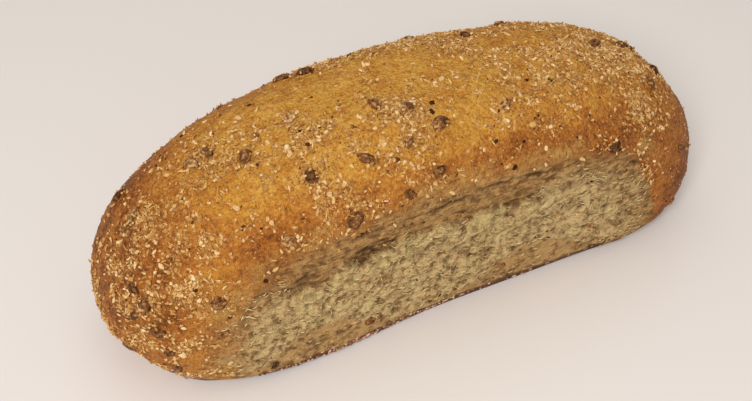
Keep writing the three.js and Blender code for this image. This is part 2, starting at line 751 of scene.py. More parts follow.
CLEFTS = (
    Cleft(-56, -24, 3.0, 1.8, 0.5),
    Cleft(-54, -28, 6.6, 1.5, 0.4),
    Cleft(-32, 12, 3.8, 1.4, 0.5),
    Cleft(-88, -56, 4.0, 1.1, 0.5),
    Cleft(4, 62, 2.2, 1.2, 0.45),
    Cleft(26, 92, 4.6, 1.2, 0.5),
    Cleft(58, 106, 1.6, 1.0, 0.45),
    Cleft(40, 84, 7.0, 1.0, 0.5),
    Cleft(50, 96, 10.0, 1.0, 0.5),
    Cleft(-104, -70, 2.0, 1.0, 0.5),
)


@dataclass(frozen=True)
class Patch:
    """A place on the crown where bran lies thick, in millimetres, and how rich it is."""

    along: float
    across: float
    radius: float
    richness: float


BRAN_PATCHES = (
    Patch(-126, -12, 12, 3.2),
    Patch(-132, -30, 11, 2.2),
    Patch(-126, -42, 12, 2.8),
    Patch(-108, -40, 12, 2.2),
    Patch(-90, -6, 14, 2.0),
    Patch(-76, -20, 13, 2.2),
    Patch(-54, -24, 15, 2.2),
    Patch(-30, -32, 17, 2.4),
    Patch(-9, -28, 12, 3.0),
    Patch(-46, -50, 12, 1.6),
    Patch(34, 8, 12, 2.5),
    Patch(62, -18, 15, 4.4),
    Patch(34, -34, 16, 1.5),
    Patch(86, 2, 16, 4.0),
    Patch(100, -18, 16, 4.2),
    Patch(98, -40, 14, 2.6),
    Patch(116, 4, 16, 2.6),
    Patch(-100, 22, 18, 2.0),
    Patch(-58, 26, 10, 3.0),
    Patch(-26, 27, 12, 4.5),
    Patch(6, 28, 12, 4.5),
    Patch(28, 28, 10, 3.5),
    Patch(48, 38, 22, 1.8),
    Patch(104, 34, 18, 2.4),
)


@dataclass(frozen=True)
class Kernel:
    """A malted kernel, in millimetres, and its tone from 0 for dark to 1 for light.

    Its place is along and across the loaf on the crown, or along and up on the torn side.
    """

    along: float
    across: float
    length: float
    width: float
    tone: float


KERNELS = (
    Kernel(-76, -17, 7.5, 6.0, 0.35),
    Kernel(-56, -38, 6.5, 6.5, 0.15),
    Kernel(-21, -20, 7.5, 4.5, 0.4),
    Kernel(-9, -27, 7.0, 6.0, 0.45),
    Kernel(-33, -40, 9.0, 4.5, 0.4),
    Kernel(-15, -40, 6.0, 4.0, 0.45),
    Kernel(-95, -5, 8.0, 5.5, 0.6),
    Kernel(-88, -4, 7.0, 5.0, 0.3),
    Kernel(-126, -11, 6.5, 5.5, 0.45),
    Kernel(-122, -6, 7.5, 5.0, 0.55),
    Kernel(-131, -29, 6.5, 5.0, 0.25),
    Kernel(-102, -49, 8.0, 7.0, 0.35),
    Kernel(-127, -40, 8.0, 6.0, 0.3),
    Kernel(-124, -42, 6.0, 5.0, 0.2),
    Kernel(-124, 11, 7.0, 4.5, 0.1),
    Kernel(-44, 24, 9.0, 5.0, 0.3),
    Kernel(-36, 19, 8.0, 5.0, 0.1),
    Kernel(1, -36, 9.0, 6.5, 0.4),
    Kernel(32, -35, 6.5, 4.5, 0.6),
    Kernel(94, -6, 8.0, 5.0, 0.25),
    Kernel(112, -2, 7.5, 5.0, 0.1),
    Kernel(117, -1, 7.0, 5.0, 0.1),
    Kernel(122, -16, 7.5, 5.5, 0.12),
    Kernel(110, -28, 7.0, 6.0, 0.3),
    Kernel(77, -53, 8.0, 5.0, 0.15),
    Kernel(-44, -53, 8.5, 7.5, 0.3),
    Kernel(-71, -50, 7.0, 5.5, 0.6),
    Kernel(-7, -51, 7.0, 4.5, 0.3),
    Kernel(-53, -10, 7.0, 4.0, 0.75),
    Kernel(40, 14, 6.5, 4.5, 0.15),
    Kernel(-70, 34, 7.0, 5.0, 0.3),
    Kernel(-8, 44, 7.5, 5.5, 0.4),
    Kernel(22, 36, 6.5, 5.0, 0.2),
    Kernel(66, 30, 7.5, 5.0, 0.35),
    Kernel(98, 36, 7.0, 5.0, 0.25),
    Kernel(-104, 38, 7.0, 5.5, 0.3),
)


TORN_KERNELS = (
    Kernel(-39, 14, 5.5, 4.5, 0.3),
    Kernel(-36, 12.5, 2.6, 2.2, 1.0),
    Kernel(-84, 8.5, 4.5, 3.0, 0.1),
    Kernel(28, 16, 5.0, 3.5, 0.45),
    Kernel(74, 22, 4.5, 3.0, 0.5),
)


@dataclass
class Spots:
    """Places on the loaf, each with its outward direction and a heading along the surface."""

    places: Array
    normals: Array
    headings: Array

    def turned(self, tilt: Array, draw: np.random.Generator) -> tuple[Array, Array, Array]:
        """Frames for things lying here: a random heading, tipped up by each tilt.

        Args:
            tilt: The angle that each thing's own up leans from the surface's.
            draw: The source of random numbers.

        Returns:
            The forward, sideways and up directions of each thing.
        """
        count = len(self.places)
        angle = draw.uniform(0, 2 * math.pi, count)[:, None]
        side = np.cross(self.normals, self.headings)
        ahead = np.cos(angle) * self.headings + np.sin(angle) * side
        side = np.cross(self.normals, ahead)
        lean = tilt[:, None]
        up = np.cos(lean) * self.normals - np.sin(lean) * ahead
        ahead = np.cos(lean) * ahead + np.sin(lean) * self.normals
        return ahead, side, up


@dataclass(frozen=True)
class ReliefHeights:
    """How high or deep each kind of relief is, in millimetres."""

    swell: float = 1.0
    ripple: float = 0.5
    crust_sink: float = 0.6
    pebble: float = 0.3
    pit: float = 0.6
    mound: float = 0.75
    mound_groove: float = 0.55
    skin_line: float = 0.22
    skin_lump: float = 0.5
    skin_sink: float = 0.7
    crumb_rise: float = 0.5
    crumb_lump: float = 0.9
    shred: float = 1.1
    pore: float = 1.3
    lip: float = 1.3
    strip_lump: float = 0.35
    strip_line: float = 0.2
    strip_sink: float = 0.1
    undercut: float = 0.9


@dataclass
class Loaf:
    """The loaf itself, from its smooth shape to its dressed mesh.

    Its surface is a grid of rings along the loaf, each with steps round it, closed by one
    point at each end. Back is the y of the loaf's back, which places it. The relief fades in
    from the still height, where the loaf rests, to the free height.
    """

    shape: LoafShape
    back: float
    rings: int = 316
    steps: int = 306
    still_height: float = 1.5 * MM
    free_height: float = 5 * MM
    sway: float = 1.3 * MM
    heights: ReliefHeights = ReliefHeights()

    def __post_init__(self) -> None:
        """Works out the surface, its zones and its relief."""
        self.coarse = LatticeNoise(11)
        self.fine = LatticeNoise(23)
        self.pores = CellNoise(37)
        sweep = self.shape.even_sweeps(self.rings + 2)
        girth = self.shape.even_girths(self.steps)
        grid, self.beyond = self.shape.body(sweep[1:-1, None], girth[None, :])
        ends, _ = self.shape.body(sweep[[0, -1]], np.full(2, math.pi))
        shift = self.back - grid[..., 1].max()
        self.points = grid + (0, shift, 0)
        self.ends = ends + (0, shift, 0)
        self.normals = self.outward()
        self.along = self.points[..., 0]
        self.across = self.points[..., 1]
        self.level = self.points[..., 2]
        self.map_zones()
        self.points = self.points + self.normals * self.relief()[..., None]
        self.points[..., 2] = np.maximum(self.points[..., 2], 0)
        self.normals = self.outward()

    def outward(self) -> Array:
        """Each point's outward direction: the cross product of the grid's two slopes.

        Returns:
            One direction for each point, of length 1.
        """
        along = np.gradient(self.points, axis=0)
        around = np.roll(self.points, -1, axis=1) - np.roll(self.points, 1, axis=1)
        normal = np.cross(along, around)
        size = np.linalg.norm(normal, axis=-1, keepdims=True)
        return normal / np.maximum(size, 1e-12)

    def map_zones(self) -> None:
        """Shares of crust, skin, crumb and strip, each from 0 to 1, with ragged borders.

        Each share eases from 0 to 1 across a line that noise moves. The torn side's line is
        where the form would stand out beyond the tear, or a set way along at the far end.
        The crumb's line is a start inside that one, and the strip's a height above the foot.
        Lengths are millimetres here, and the noise adds one or two to them.
        """
        wander = self.coarse.layered(self.points, 13 * MM, 4)
        ragged = self.fine.layered(self.points, (7 * MM, 4 * MM, 4 * MM), 3)
        inset, along, height = self.beyond / MM, self.along / MM, self.level / MM
        left, right, far_end = ease(along, -66, -84), ease(along, 30, 52), ease(along, 84, 100)

        far_line = along + 0.4 * height + 3 * wander + 1.5 * ragged
        edge = inset + (1.3 - 0.6 * far_end) * wander + 0.9 * ragged - 9 * ease(far_line, 112, 125)
        self.torn = ease(edge, -3.4 - 2 * left + 3.4 * far_end, 2.4 + 3 * left + 0.8 * far_end)

        start = 8.4 + 0.03 * (along + 20) - 3.5 * left - 4.5 * right
        self.rim = inset + 1.1 * wander + 0.9 * ragged - start
        sharp = (1 - left) * (1 - right)
        width = 0.5 + 4.5 * (1 - sharp)
        self.ledge = sharp * self.torn

        near_bank, far_bank = 17 * bell(along, -58, 26), 22 * bell(along, 45, 26)
        top = 5 + near_bank + far_bank + 4.5 * wander + 1.5 * ragged
        self.strip = ease(height, top + 2.5, top - 2.5) * self.torn
        self.crumb = ease(self.rim, -width, width) * (1 - 0.85 * self.strip) * self.torn

        foot_top = 1.4 + 4.6 * self.torn + 1.2 * ragged
        self.foot = ease(height, foot_top, 0.6 + 3.8 * self.torn + 0.6 * ragged)
        band = bell(inset + 2.5 + wander, 0, 3.0)
        band = band * ease(self.coarse.at(self.points, 20 * MM), -0.4, 0.3)
        self.pale_rim = band * (1 - self.foot) * ease(along, 108, 98)
        glow = bell(self.rim, 1.5, 1.8) * ease(wander, -0.3, 0.4)
        self.bright = glow * self.ledge * self.crumb

    def clefts(self) -> Array:
        """How deep the long cracks cut.

        A crack's depth is a bell across its line, which wavers, times a window along it that
        fades over ten millimetres at both ends, broken up by noise. The deepest counts.

        Returns:
            The depth in millimetres.
        """
        fade = 10
        waver = 0.9 * self.fine.at(self.points, 16 * MM)
        waver = waver + 0.45 * self.fine.layered(self.points, 5 * MM, 2)
        broken = ease(self.coarse.at(self.points, 9 * MM), -0.45, 0.3)
        inset, along = self.beyond / MM + waver, self.along / MM
        total = np.zeros_like(inset)
        for crack in CLEFTS:
            window = ease(along, crack.start, crack.start + fade)
            window = window * ease(along, crack.end, crack.end - fade)
            depth = crack.depth * window * broken * bell(inset, crack.inset, crack.width)
            total = np.maximum(total, depth)
        return total

    def mounds(self) -> Array:
        """How the crust rises round each kernel: a wide bell less a ring at its edge.

        Returns:
            The height in millimetres.
        """
        total = np.zeros_like(self.beyond)
        for kernel in KERNELS:
            away = np.hypot(self.along / MM - kernel.along, self.across / MM - kernel.across)
            radius = (kernel.length + kernel.width) / 4
            swell = self.heights.mound * bell(away, 0, radius + 2.5)
            groove = self.heights.mound_groove * bell(away - radius, 0.2, 0.8)
            total = total + (swell - groove) * (self.normals[..., 2] > 0)
        return total

    def undercut(self, points: Array) -> Array:
        """The groove under the ledge: a narrow bell along the crumb's frayed edge.

        Args:
            points: The swayed points that the noise is read at.

        Returns:
            Its share at each point, broken up along its length.
        """
        fray = self.fine.layered(points + 0.6, (4 * MM, 2.4 * MM, 2.4 * MM), 2)
        broken = self.coarse.at(points + 0.7, (26 * MM, 7 * MM, 7 * MM))
        groove = bell(self.rim + 0.7 + 0.8 * fray, 0, 0.5) * self.ledge
        return groove * ease(broken, -0.25, 0.4) * (1 - self.strip)

    def crust_relief(self, points: Array) -> tuple[Array, Array]:
        """The crust: wide swells and pebbles, mounds round the kernels and small round pits.

        Args:
            points: The swayed points that the noise is read at.

        Returns:
            The height in millimetres, and the share of pit.
        """
        size = self.heights
        height = size.swell * self.coarse.at(points, 42 * MM) - size.crust_sink
        height = height + size.ripple * self.coarse.at(points, 17 * MM)
        pebbles = self.fine.layered(points, 4.6 * MM, 3)
        # kept for painted light on the pebbles' tops and painted shade in their hollows
        self.pebble_shading = np.clip(pebbles, -1, 1)
        gap, mark = self.pores.nearest(points, 6.5 * MM)
        pits = ease(gap, 0.2, 0.06) * (mark < 0.5)
        height = height + size.pebble * pebbles - size.pit * pits
        return height + self.mounds() * (1 - self.torn), pits

    def torn_relief(self, points: Array, undercut: Array) -> tuple[Array, Array]:
        """The torn side: skin drawn out lengthwise and cracked, shredded crumb, and the strip.

        The crumb stands proud of the skin with a lip along its edge, and pores eat into it.

        Args:
            points: The swayed points that the noise is read at.
            undercut: The share of the groove under the ledge.

        Returns:
            The height in millimetres, and the painted shade of its cracks, pores, groove and low
            shreds.
        """
        size = self.heights
        lines = self.fine.layered(points, (22 * MM, 2.6 * MM, 2.6 * MM), 2)
        lumps = self.coarse.layered(points, (12 * MM, 7 * MM, 7 * MM), 2)
        shreds = self.fine.layered(points, (5.5 * MM, 4.0 * MM, 4.0 * MM), 3)
        tears = self.coarse.layered(points + 0.4, (3.6 * MM, 2.6 * MM, 2.6 * MM), 2)
        pore = ease(tears, 0.2, 0.75)
        cracks = self.clefts() * (1 - self.crumb)
        skin = size.skin_line * lines + size.skin_lump * lumps - size.skin_sink
        crumb = size.crumb_rise + size.crumb_lump * lumps + size.shred * shreds - size.pore * pore
        lip = size.lip * bell(self.rim, 1.2, 1.8) * self.ledge
        strip = size.strip_lump * lumps + size.strip_line * lines - size.strip_sink
        height = skin + (crumb + lip - skin) * self.crumb
        height = height + (strip - height) * self.strip - cracks
        # painted shade: how far the torn side's colour darkens in its cracks, pores, groove and low
        # shreds
        painted_shade = 0.6 * pore * self.crumb + 0.7 * cracks + 0.9 * undercut
        return height, painted_shade + 0.35 * ease(shreds, -0.1, -0.9) * self.crumb

    def relief(self) -> Array:
        """How far each point stands out from the smooth form.

        The crust's height and the torn side's are mixed by the torn share. This also keeps
        the crust's pebbles, for the bake's painted light and shade, and the painted shade of each
        hollow.

        Returns:
            The height in metres, none near the bottom.
        """
        sway = [self.coarse.at(self.points + shift, 6 * MM) for shift in (0.1, 0.2, 0.3)]
        points = self.points + self.sway * np.stack(sway, axis=-1)
        undercut = self.undercut(points)
        crust, pits = self.crust_relief(points)
        torn, painted_shade = self.torn_relief(points, undercut)
        # painted shade of hollows: the torn side's cracks and pores, and half of the crust's pits
        self.cavity_shade = np.clip(painted_shade * self.torn + 0.5 * pits * (1 - self.torn), 0, 0.9)
        height = crust + (torn - crust) * self.torn - self.heights.undercut * undercut
        return height * MM * ease(self.level, self.still_height, self.free_height)

    def bran_richness(self) -> Array:
        """How thickly bran lies: in clumps and patches on the crown, thin on the back.

        A thin base and noise clumps, plus a bell for each patch and a low rise at the near
        end, are thinned on the near back and the far end's flank, and nearly to nothing on
        the torn side.

        Returns:
            The relative thickness at each point.
        """
        clumps = ease(self.coarse.layered(self.points, 12 * MM, 3), -0.3, 0.5)
        total = 0.08 + 0.94 * clumps
        upper = ease(self.level, 25 * MM, 45 * MM)
        for patch in BRAN_PATCHES:
            away = np.hypot(self.along / MM - patch.along, self.across / MM - patch.across)
            spread = bell(away, 0, patch.radius) * upper * (0.4 + 1.3 * clumps)
            total = total + patch.richness * spread
        near_back = ease(self.normals[..., 1], 0.0, 0.25) * ease(self.along, -30 * MM, -60 * MM)
        far_flank = ease(self.along, 98 * MM, 110 * MM) * ease(self.level, 74 * MM, 58 * MM)
        near_foot = ease(self.along, -90 * MM, -115 * MM) * ease(self.level, 50 * MM, 30 * MM)
        total = total + near_foot * (0.2 + 2 * clumps)
        total = total * (1 - 0.9 * near_back) * (1 - 0.92 * far_flank) * (1 - 0.96 * self.torn)
        return total * ease(self.level, 0.8 * MM, 3 * MM)

    def bake(self) -> Array:
        """How brown the crust is: more towards the ends, the foot, the back and the tear.

        The sum of a base, one share for each stretch of crust, painted light on the pebbles'
        tops and painted shade in their hollows, and a wide noise, with the darkest brown held back.

        Returns:
            The brownness, from 0 for golden to 1 for scorched.
        """
        far_half = ease(self.along, -20 * MM, 40 * MM)
        ends = ease(np.abs(self.along) / (self.shape.length / 2), 0.35, 1.0)
        near_end = ease(self.along, -84 * MM, -126 * MM)
        far_end = ease(self.along, 85 * MM, 140 * MM)
        upper = ease(self.level, 20 * MM, 50 * MM)
        foot = ease(self.level, 30 * MM, 4 * MM)
        back = ease(self.normals[..., 1], 0.3, 0.8)
        near_back = ease(self.normals[..., 1], -0.05, 0.3) * ease(self.along, 10 * MM, -50 * MM)
        above_tear = ease(self.beyond, -26 * MM, -3 * MM) * ease(self.along, -110 * MM, -80 * MM)
        above_tear = above_tear * (1 - 0.7 * ease(self.along, 92 * MM, 112 * MM))
        near_half = ease(self.along, -40 * MM, -66 * MM)
        brown = 0.21 + 0.05 * far_half + (0.2 + 0.08 * far_half) * ends
        brown = brown + (0.16 + 0.22 * upper) * near_end + (0.32 - 0.14 * upper) * far_end
        brown = brown + 0.18 * back + 0.14 * near_back + 0.12 * foot
        brown = brown + (0.4 + 0.05 * far_half + 0.12 * near_half) * above_tear
        # painted light and shade: paler on the pebbles' tops, browner in their hollows
        brown = brown - 0.14 * self.pebble_shading + 0.1 * self.coarse.at(self.points, 34 * MM)
        return np.minimum(brown, 0.55 + 0.4 * brown)

    def faces(self) -> tuple[list[Array], Array]:
        """The grid's quads, closed at both ends by fans of triangles, and their flat map.

        The flat map is the grid itself: rings run across it and steps up it.

        Returns:
            The faces, and the map's place of each of their corners.
        """
        rings, steps = self.rings, self.steps
        ring, step = np.meshgrid(np.arange(rings - 1), np.arange(steps), indexing="ij")
        ring, step = ring.ravel(), step.ravel()
        after = (step + 1) % steps
        near, far = ring * steps, (ring + 1) * steps
        quads = np.stack([near + step, far + step, far + after, near + after], axis=1)
        low, high = ring / rings, (ring + 1) / rings
        left, right = step / steps, (step + 1) / steps
        quad_map = np.stack([low, left, high, left, high, right, low, right], axis=1)

        turn = np.arange(steps)
        following = (turn + 1) % steps
        first_tip, last_tip, last_ring = rings * steps, rings * steps + 1, (rings - 1) * steps
        first_fan = np.stack([np.full(steps, first_tip), turn, following], axis=1)
        last_fan = [np.full(steps, last_tip), last_ring + following, last_ring + turn]
        here, there = turn / steps, (turn + 1) / steps
        middle = (here + there) / 2
        zero, one = np.zeros(steps), np.ones(steps)
        near_edge, far_edge = zero + 0.5 / rings, np.full(steps, 1 - 1 / rings)
        first_map = np.stack([zero, middle, near_edge, here, near_edge, there], axis=1)
        last_map = np.stack([one, middle, far_edge, there, far_edge, here], axis=1)
        corner_map = np.concatenate([m.reshape(-1, 2) for m in (quad_map, first_map, last_map)])
        return [quads, first_fan, np.stack(last_fan, axis=1)], corner_map

    def dressed(self, finish: LoafFinish) -> bpy.types.Object:
        """Builds the loaf's mesh with its finish, in the place of the CAD solid.

        Args:
            finish: The loaf's colours.

        Returns:
            The piece.
        """
        zones = {
            "torn": self.torn,
            "crumb": self.crumb,
            "strip": self.strip,
            "cavity_shade": self.cavity_shade,
            "bake": self.bake(),
            "dust": ease(self.bran_richness(), 0.8, 5.0),
            "foot": self.foot,
            "ledge": self.bright,
            "rim": self.pale_rim,
        }
        values = {k: np.concatenate([v.ravel(), v[[0, -1]].mean(axis=1)]) for k, v in zones.items()}
        points = np.concatenate([self.points.reshape(-1, 3), self.ends])
        faces, corner_map = self.faces()
        piece = build_piece("loaf_body", points, faces, corner_map, values, finish.material())
        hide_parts(NODE)
        return piece

    def sow(self, richness: Array, count: int, draw: np.random.Generator) -> Spots:
        """Scatters places over the surface, as thickly as the richness says.

        A face is picked by its area times its richness, and a place on it by two shares of
        its sides.

        Args:
            richness: The relative number of places for each area, on the grid.
            count: How many places.
            draw: The source of random numbers.

        Returns:
            The places.
        """
        here = self.points[:-1]
        beside = np.roll(self.points, -1, axis=1)[:-1]
        ahead = self.points[1:]
        area = np.linalg.norm(np.cross(beside - here, ahead - here), axis=-1)
        weight = (area * richness[:-1]).ravel()
        pick = draw.choice(weight.size, size=count, p=weight / weight.sum())
        across, along = draw.random((2, count, 1))
        place = here.reshape(-1, 3)[pick]
        place = place + across * (beside.reshape(-1, 3)[pick] - place)
        place = place + along * (ahead - here).reshape(-1, 3)[pick]
        return self.spots(place, self.normals[:-1].reshape(-1, 3)[pick])

    def nearest(self, wanted: Array, torn: bool = False) -> Spots:
        """The loaf's points that lie closest to the wanted places.

        Args:
            wanted: Rows of x and y on the crown, or of x and z on the torn side.
            torn: Whether the places are on the torn side.

        Returns:
            The places.
        """
        if torn:
            area = self.torn > 0.7
            axes = [0, 2]
        else:
            area = (self.normals[..., 2] > 0.02) & (self.torn < 0.3)
            axes = [0, 1]
        places, normals = self.points[area], self.normals[area]
        gap = np.linalg.norm(places[None][..., axes] - wanted[:, None, :], axis=-1)
        pick = gap.argmin(axis=1)
        return self.spots(places[pick], normals[pick])

    @staticmethod
    def spots(places: Array, normals: Array) -> Spots:
        """Adds a heading along the surface to each place, square to a fixed slant.

        Args:
            places: The places.
            normals: The outward direction at each.

        Returns:
            The places with their directions.
        """
        heading = np.cross(normals, np.array([0.31, 0.87, 0.38]))
        heading = heading / np.linalg.norm(heading, axis=1, keepdims=True)
        return Spots(places, normals, heading)


def map_cells(count: int, local: Array) -> Array:
    """Gives every copy of a small shape its own square of the flat map.

    Args:
        count: How many copies there are.
        local: One copy's face corners on a square from 0 to 1.

    Returns:
        The place of every corner, copy by copy.
    """
    margin = 0.08
    side = math.ceil(math.sqrt(count))
    cell = np.stack([np.arange(count) % side, np.arange(count) // side], axis=1)
    inner = margin + (1 - 2 * margin) * local
    return ((cell[:, None, :] + inner[None]) / side).reshape(-1, 2)


def place_copies(local: Array, middles: Array, axes: tuple[Array, ...]) -> Array:
    """Turns and moves copies of a small shape, and keeps them above the table.

    A point is its copy's middle plus its own x, y and z, each times one of the copy's axes.

    Args:
        local: Each copy's points about its own middle.
        middles: Where each copy goes.
        axes: Each copy's forward, sideways and up directions.

    Returns:
        Every point, copy by copy.
    """
    turned = sum(local[..., i : i + 1] * axis[:, None] for i, axis in enumerate(axes))
    points = middles[:, None] + turned
    points[..., 2] = np.maximum(points[..., 2], 0)
    return points.reshape(-1, 3)


def repeat_faces(faces: Array, per: int, count: int) -> Array:
    """Every copy's faces: one copy's, moved on by its number of points from copy to copy."""
    return (faces[None] + per * np.arange(count)[:, None, None]).reshape(-1, faces.shape[1])


@dataclass(frozen=True)
class FlakeForm:
    """The sizes of one kind of bran flake, in millimetres, each as shortest and longest."""

    length: tuple[float, float]
    width: tuple[float, float]
    thickness: tuple[float, float]
    curl: float
    tilt: float


class Bran(Enum):
    """The kinds of bran on the crust."""

    CHIP = FlakeForm((1.0, 2.7), (0.8, 1.8), (0.3, 0.65), 0.3, 0.45)
    SLIVER = FlakeForm((1.8, 4.2), (0.5, 1.0), (0.3, 0.5), 0.15, 0.2)
    HUSK = FlakeForm((2.0, 3.8), (1.3, 2.4), (0.3, 0.6), 0.6, 0.45)
    LEAF = FlakeForm((3.4, 4.8), (2.4, 3.2), (0.5, 0.8), 0.3, 0.25)


@dataclass
class FlakeCoat:
    """Bran flakes of one kind, scattered over the crust and joined into one piece."""

    name: str
    kind: Bran
    seed: int
    rim_steps: int = 8
    inner_share: float = 0.6
    most_lift: float = 0.3 * MM

    def triangles(self) -> Array:
        """One flake's faces: a fan below, a band round the edge and a fan on top.

        Returns:
            The faces, by the point numbers that local_points gives.
        """
        turn = np.arange(self.rim_steps)
        after = (turn + 1) % self.rim_steps
        rim, inner = 1 + turn, 1 + self.rim_steps + turn
        rim_after, inner_after = 1 + after, 1 + self.rim_steps + after
        bottom, top = np.zeros_like(turn), np.full_like(turn, 1 + 2 * self.rim_steps)
        below, band_low = (bottom, rim_after, rim), (rim, rim_after, inner_after)
        band_high, above = (rim, inner_after, inner), (inner, inner_after, top)
        return np.concatenate([np.stack(f, axis=1) for f in (below, band_low, band_high, above)])

    def local_points(self, count: int, draw: np.random.Generator) -> Array:
        """Each flake about its own middle: a ragged rim and a raised, curled inside.

        The rim is an ellipse whose points stray in angle and in reach, bent up or down with
        the square of the distance along the flake. The inside is the rim drawn in and
        raised by the thickness.

        Args:
            count: How many flakes.
            draw: The source of random numbers.

        Returns:
            Each flake's bottom point, rim, inside and top point.
        """
        form = self.kind.value
        spans = (form.length, form.width, form.thickness)
        length, width, thickness = (draw.uniform(*span, (count, 1)) * MM for span in spans)
        steps, inner_share = self.rim_steps, self.inner_share
        angle = 2 * math.pi * (np.arange(steps) + draw.uniform(-0.3, 0.3, (count, steps))) / steps
        ragged = draw.uniform(0.72, 1.12, (count, steps))
        ahead = length / 2 * ragged * np.cos(angle)
        aside = width / 2 * ragged * np.sin(angle)
        curl = form.curl * draw.uniform(-0.5, 1.0, (count, 1)) * length / 2
        bend = curl * (2 * ahead / length) ** 2
        rim = np.stack([ahead, aside, bend], axis=-1)
        height = np.broadcast_to(thickness, ahead.shape) * draw.uniform(0.6, 1.1, ahead.shape)
        raised = inner_share**2 * bend + height
        inner = np.stack([inner_share * ahead, inner_share * aside, raised], axis=-1)
        zero = np.zeros((count, 1))
        bottom = np.stack([zero, zero, -0.6 * thickness], axis=-1)
        top = np.stack([zero, zero, 0.9 * thickness], axis=-1)
        return np.concatenate([bottom, rim, inner, top], axis=1)

    def dressed(self, spots: Spots, material: bpy.types.Material) -> bpy.types.Object:
        """Builds one flake at each spot.

        Args:
            spots: Where the flakes lie.
            material: The flakes' finish.

        Returns:
            The piece.
        """
        draw = np.random.default_rng(self.seed)
        count = len(spots.places)
        local = self.local_points(count, draw)
        axes = spots.turned(draw.normal(0, self.kind.value.tilt, count), draw)
        lift = draw.uniform(0.0, 1.0, (count, 1)) * self.most_lift
        points = place_copies(local, spots.places + lift * spots.normals, axes)
        triangles, per = self.triangles(), local.shape[1]
        ring = 2 * math.pi * np.arange(self.rim_steps) / self.rim_steps
        disc = np.stack([np.cos(ring), np.sin(ring)], axis=1) / 2
        flat = np.concatenate([[[0, 0]], disc, self.inner_share * disc, [[0, 0]]]) + 0.5
        values = {"tone": np.repeat(draw.beta(1.5, 1.7, count), per)}
        corner_map = map_cells(count, flat[triangles].reshape(-1, 2))
        faces = [repeat_faces(triangles, per, count)]
        piece = build_piece(self.name, points, faces, corner_map, values, material, smooth=False)
        return piece


@dataclass
class Lumps:
    """Rounded grains sunk in the surface and joined into one piece.

    Each is an ellipsoid dented by layered noise, ridged lengthwise and creased along its
    top, on a grid of turns round its long axis and steps from one tip to the other.
    """

    name: str
    slot: str
    turns: int
    steps: int
    seed: int
    dent: float
    crease: float
    sunk: float
    ridges: int = 5
    crease_width: float = 0.22
    lean: float = 0.18

    def ball(self) -> tuple[Array, Array, Array]:
        """A unit ball: rings of points between two tips on its long axis.

        Returns:
            Its points, its triangles and its points' places on the flat map.
        """
        turns = self.turns
        angle = math.pi * np.arange(1, self.steps) / self.steps
        turn = 2 * math.pi * np.arange(turns) / turns
        angle, turn = np.meshgrid(angle, turn, indexing="ij")
        reach = np.sin(angle)
        ring = np.stack([np.cos(angle), reach * np.cos(turn), reach * np.sin(turn)], axis=-1)
        points = np.concatenate([[[1.0, 0, 0]], ring.reshape(-1, 3), [[-1.0, 0, 0]]])
        row, column = np.meshgrid(np.arange(self.steps - 2), np.arange(turns), indexing="ij")
        row, column = row.ravel(), column.ravel()
        after = (column + 1) % turns
        near, far = 1 + row * turns, 1 + (row + 1) * turns
        first = np.stack([near + column, far + column, far + after], axis=1)
        second = np.stack([near + column, far + after, near + after], axis=1)
        turn = np.arange(turns)
        after = (turn + 1) % turns
        final, last_tip = 1 + (self.steps - 2) * turns, len(points) - 1
        tips = np.stack([np.zeros_like(turn), 1 + turn, 1 + after], axis=1)
        tails = np.stack([np.full_like(turn, last_tip), final + after, final + turn], axis=1)
        flat = 0.5 + 0.5 * points[:, :2]
        return points, np.concatenate([first, second, tips, tails]), flat

    def dressed(
        self, spots: Spots, sizes: Array, tones: Array, material: bpy.types.Material
    ) -> bpy.types.Object:
        """Builds one lump at each spot.

        Args:
            spots: Where the lumps sit.
            sizes: Each lump's length, width and height in metres.
            tones: Each lump's tone, from 0 for dark to 1 for light.
            material: The lumps' finish.

        Returns:
            The piece.
        """
        draw = np.random.default_rng(self.seed)
        count = len(sizes)
        ball, triangles, flat = self.ball()
        offsets = draw.uniform(0, 50, (count, 1, 3))
        bumps = LatticeNoise(self.seed).layered(ball[None] + offsets, 0.9, 3)
        turn, phase = np.arctan2(ball[:, 2], ball[:, 1]), 6 * draw.random((count, 1))
        ridges = np.sin(self.ridges * turn + phase + 2 * bumps)
        swell = 1 + self.dent * (bumps + 0.35 * ridges)
        local = ball[None] * swell[..., None] * sizes[:, None] / 2
        groove = bell(ball[:, 1], 0, self.crease_width) * np.maximum(ball[:, 2], 0)
        local[..., 2] -= self.crease * groove * sizes[:, 2:]
        axes = spots.turned(draw.normal(0, self.lean, count), draw)
        sunk = self.sunk + draw.uniform(-0.1, 0.1, (count, 1))
        middles = spots.places + (0.5 - sunk) * sizes[:, 2:] * spots.normals
        points = place_copies(local, middles, axes)
        values = {"tone": np.clip(tones[:, None] + 0.25 * bumps + 0.12 * ridges, 0, 1)}
        corner_map = map_cells(count, flat[triangles].reshape(-1, 2))
        faces = [repeat_faces(triangles, len(ball), count)]
        piece = build_piece(self.name, points, faces, corner_map, values, material)
        return piece


@dataclass
class Sowing:
    """Grains of one kind, scattered over the loaf.

    Sizes are millimetres from the least to the most, times a scale for length, width and
    height. Tones come from a beta distribution's two shapes.
    """

    lumps: Lumps
    count: int
    sizes: tuple[float, float]
    scale: tuple[float, float, float]
    tones: tuple[float, float]

    def sown(
        self, loaf: Loaf, richness: Array, draw: np.random.Generator, material: bpy.types.Material
    ) -> bpy.types.Object:
        """Scatters the grains and builds them.

        Args:
            loaf: The loaf that they lie on.
            richness: How thickly they lie, on the loaf's grid.
            draw: The source of random numbers.
            material: The grains' finish.

        Returns:
            The piece.
        """
        spots = loaf.sow(richness, self.count, draw)
        sizes = draw.uniform(*self.sizes, (self.count, 3)) * MM * self.scale
        return self.lumps.dressed(spots, sizes, draw.beta(*self.tones, self.count), material)


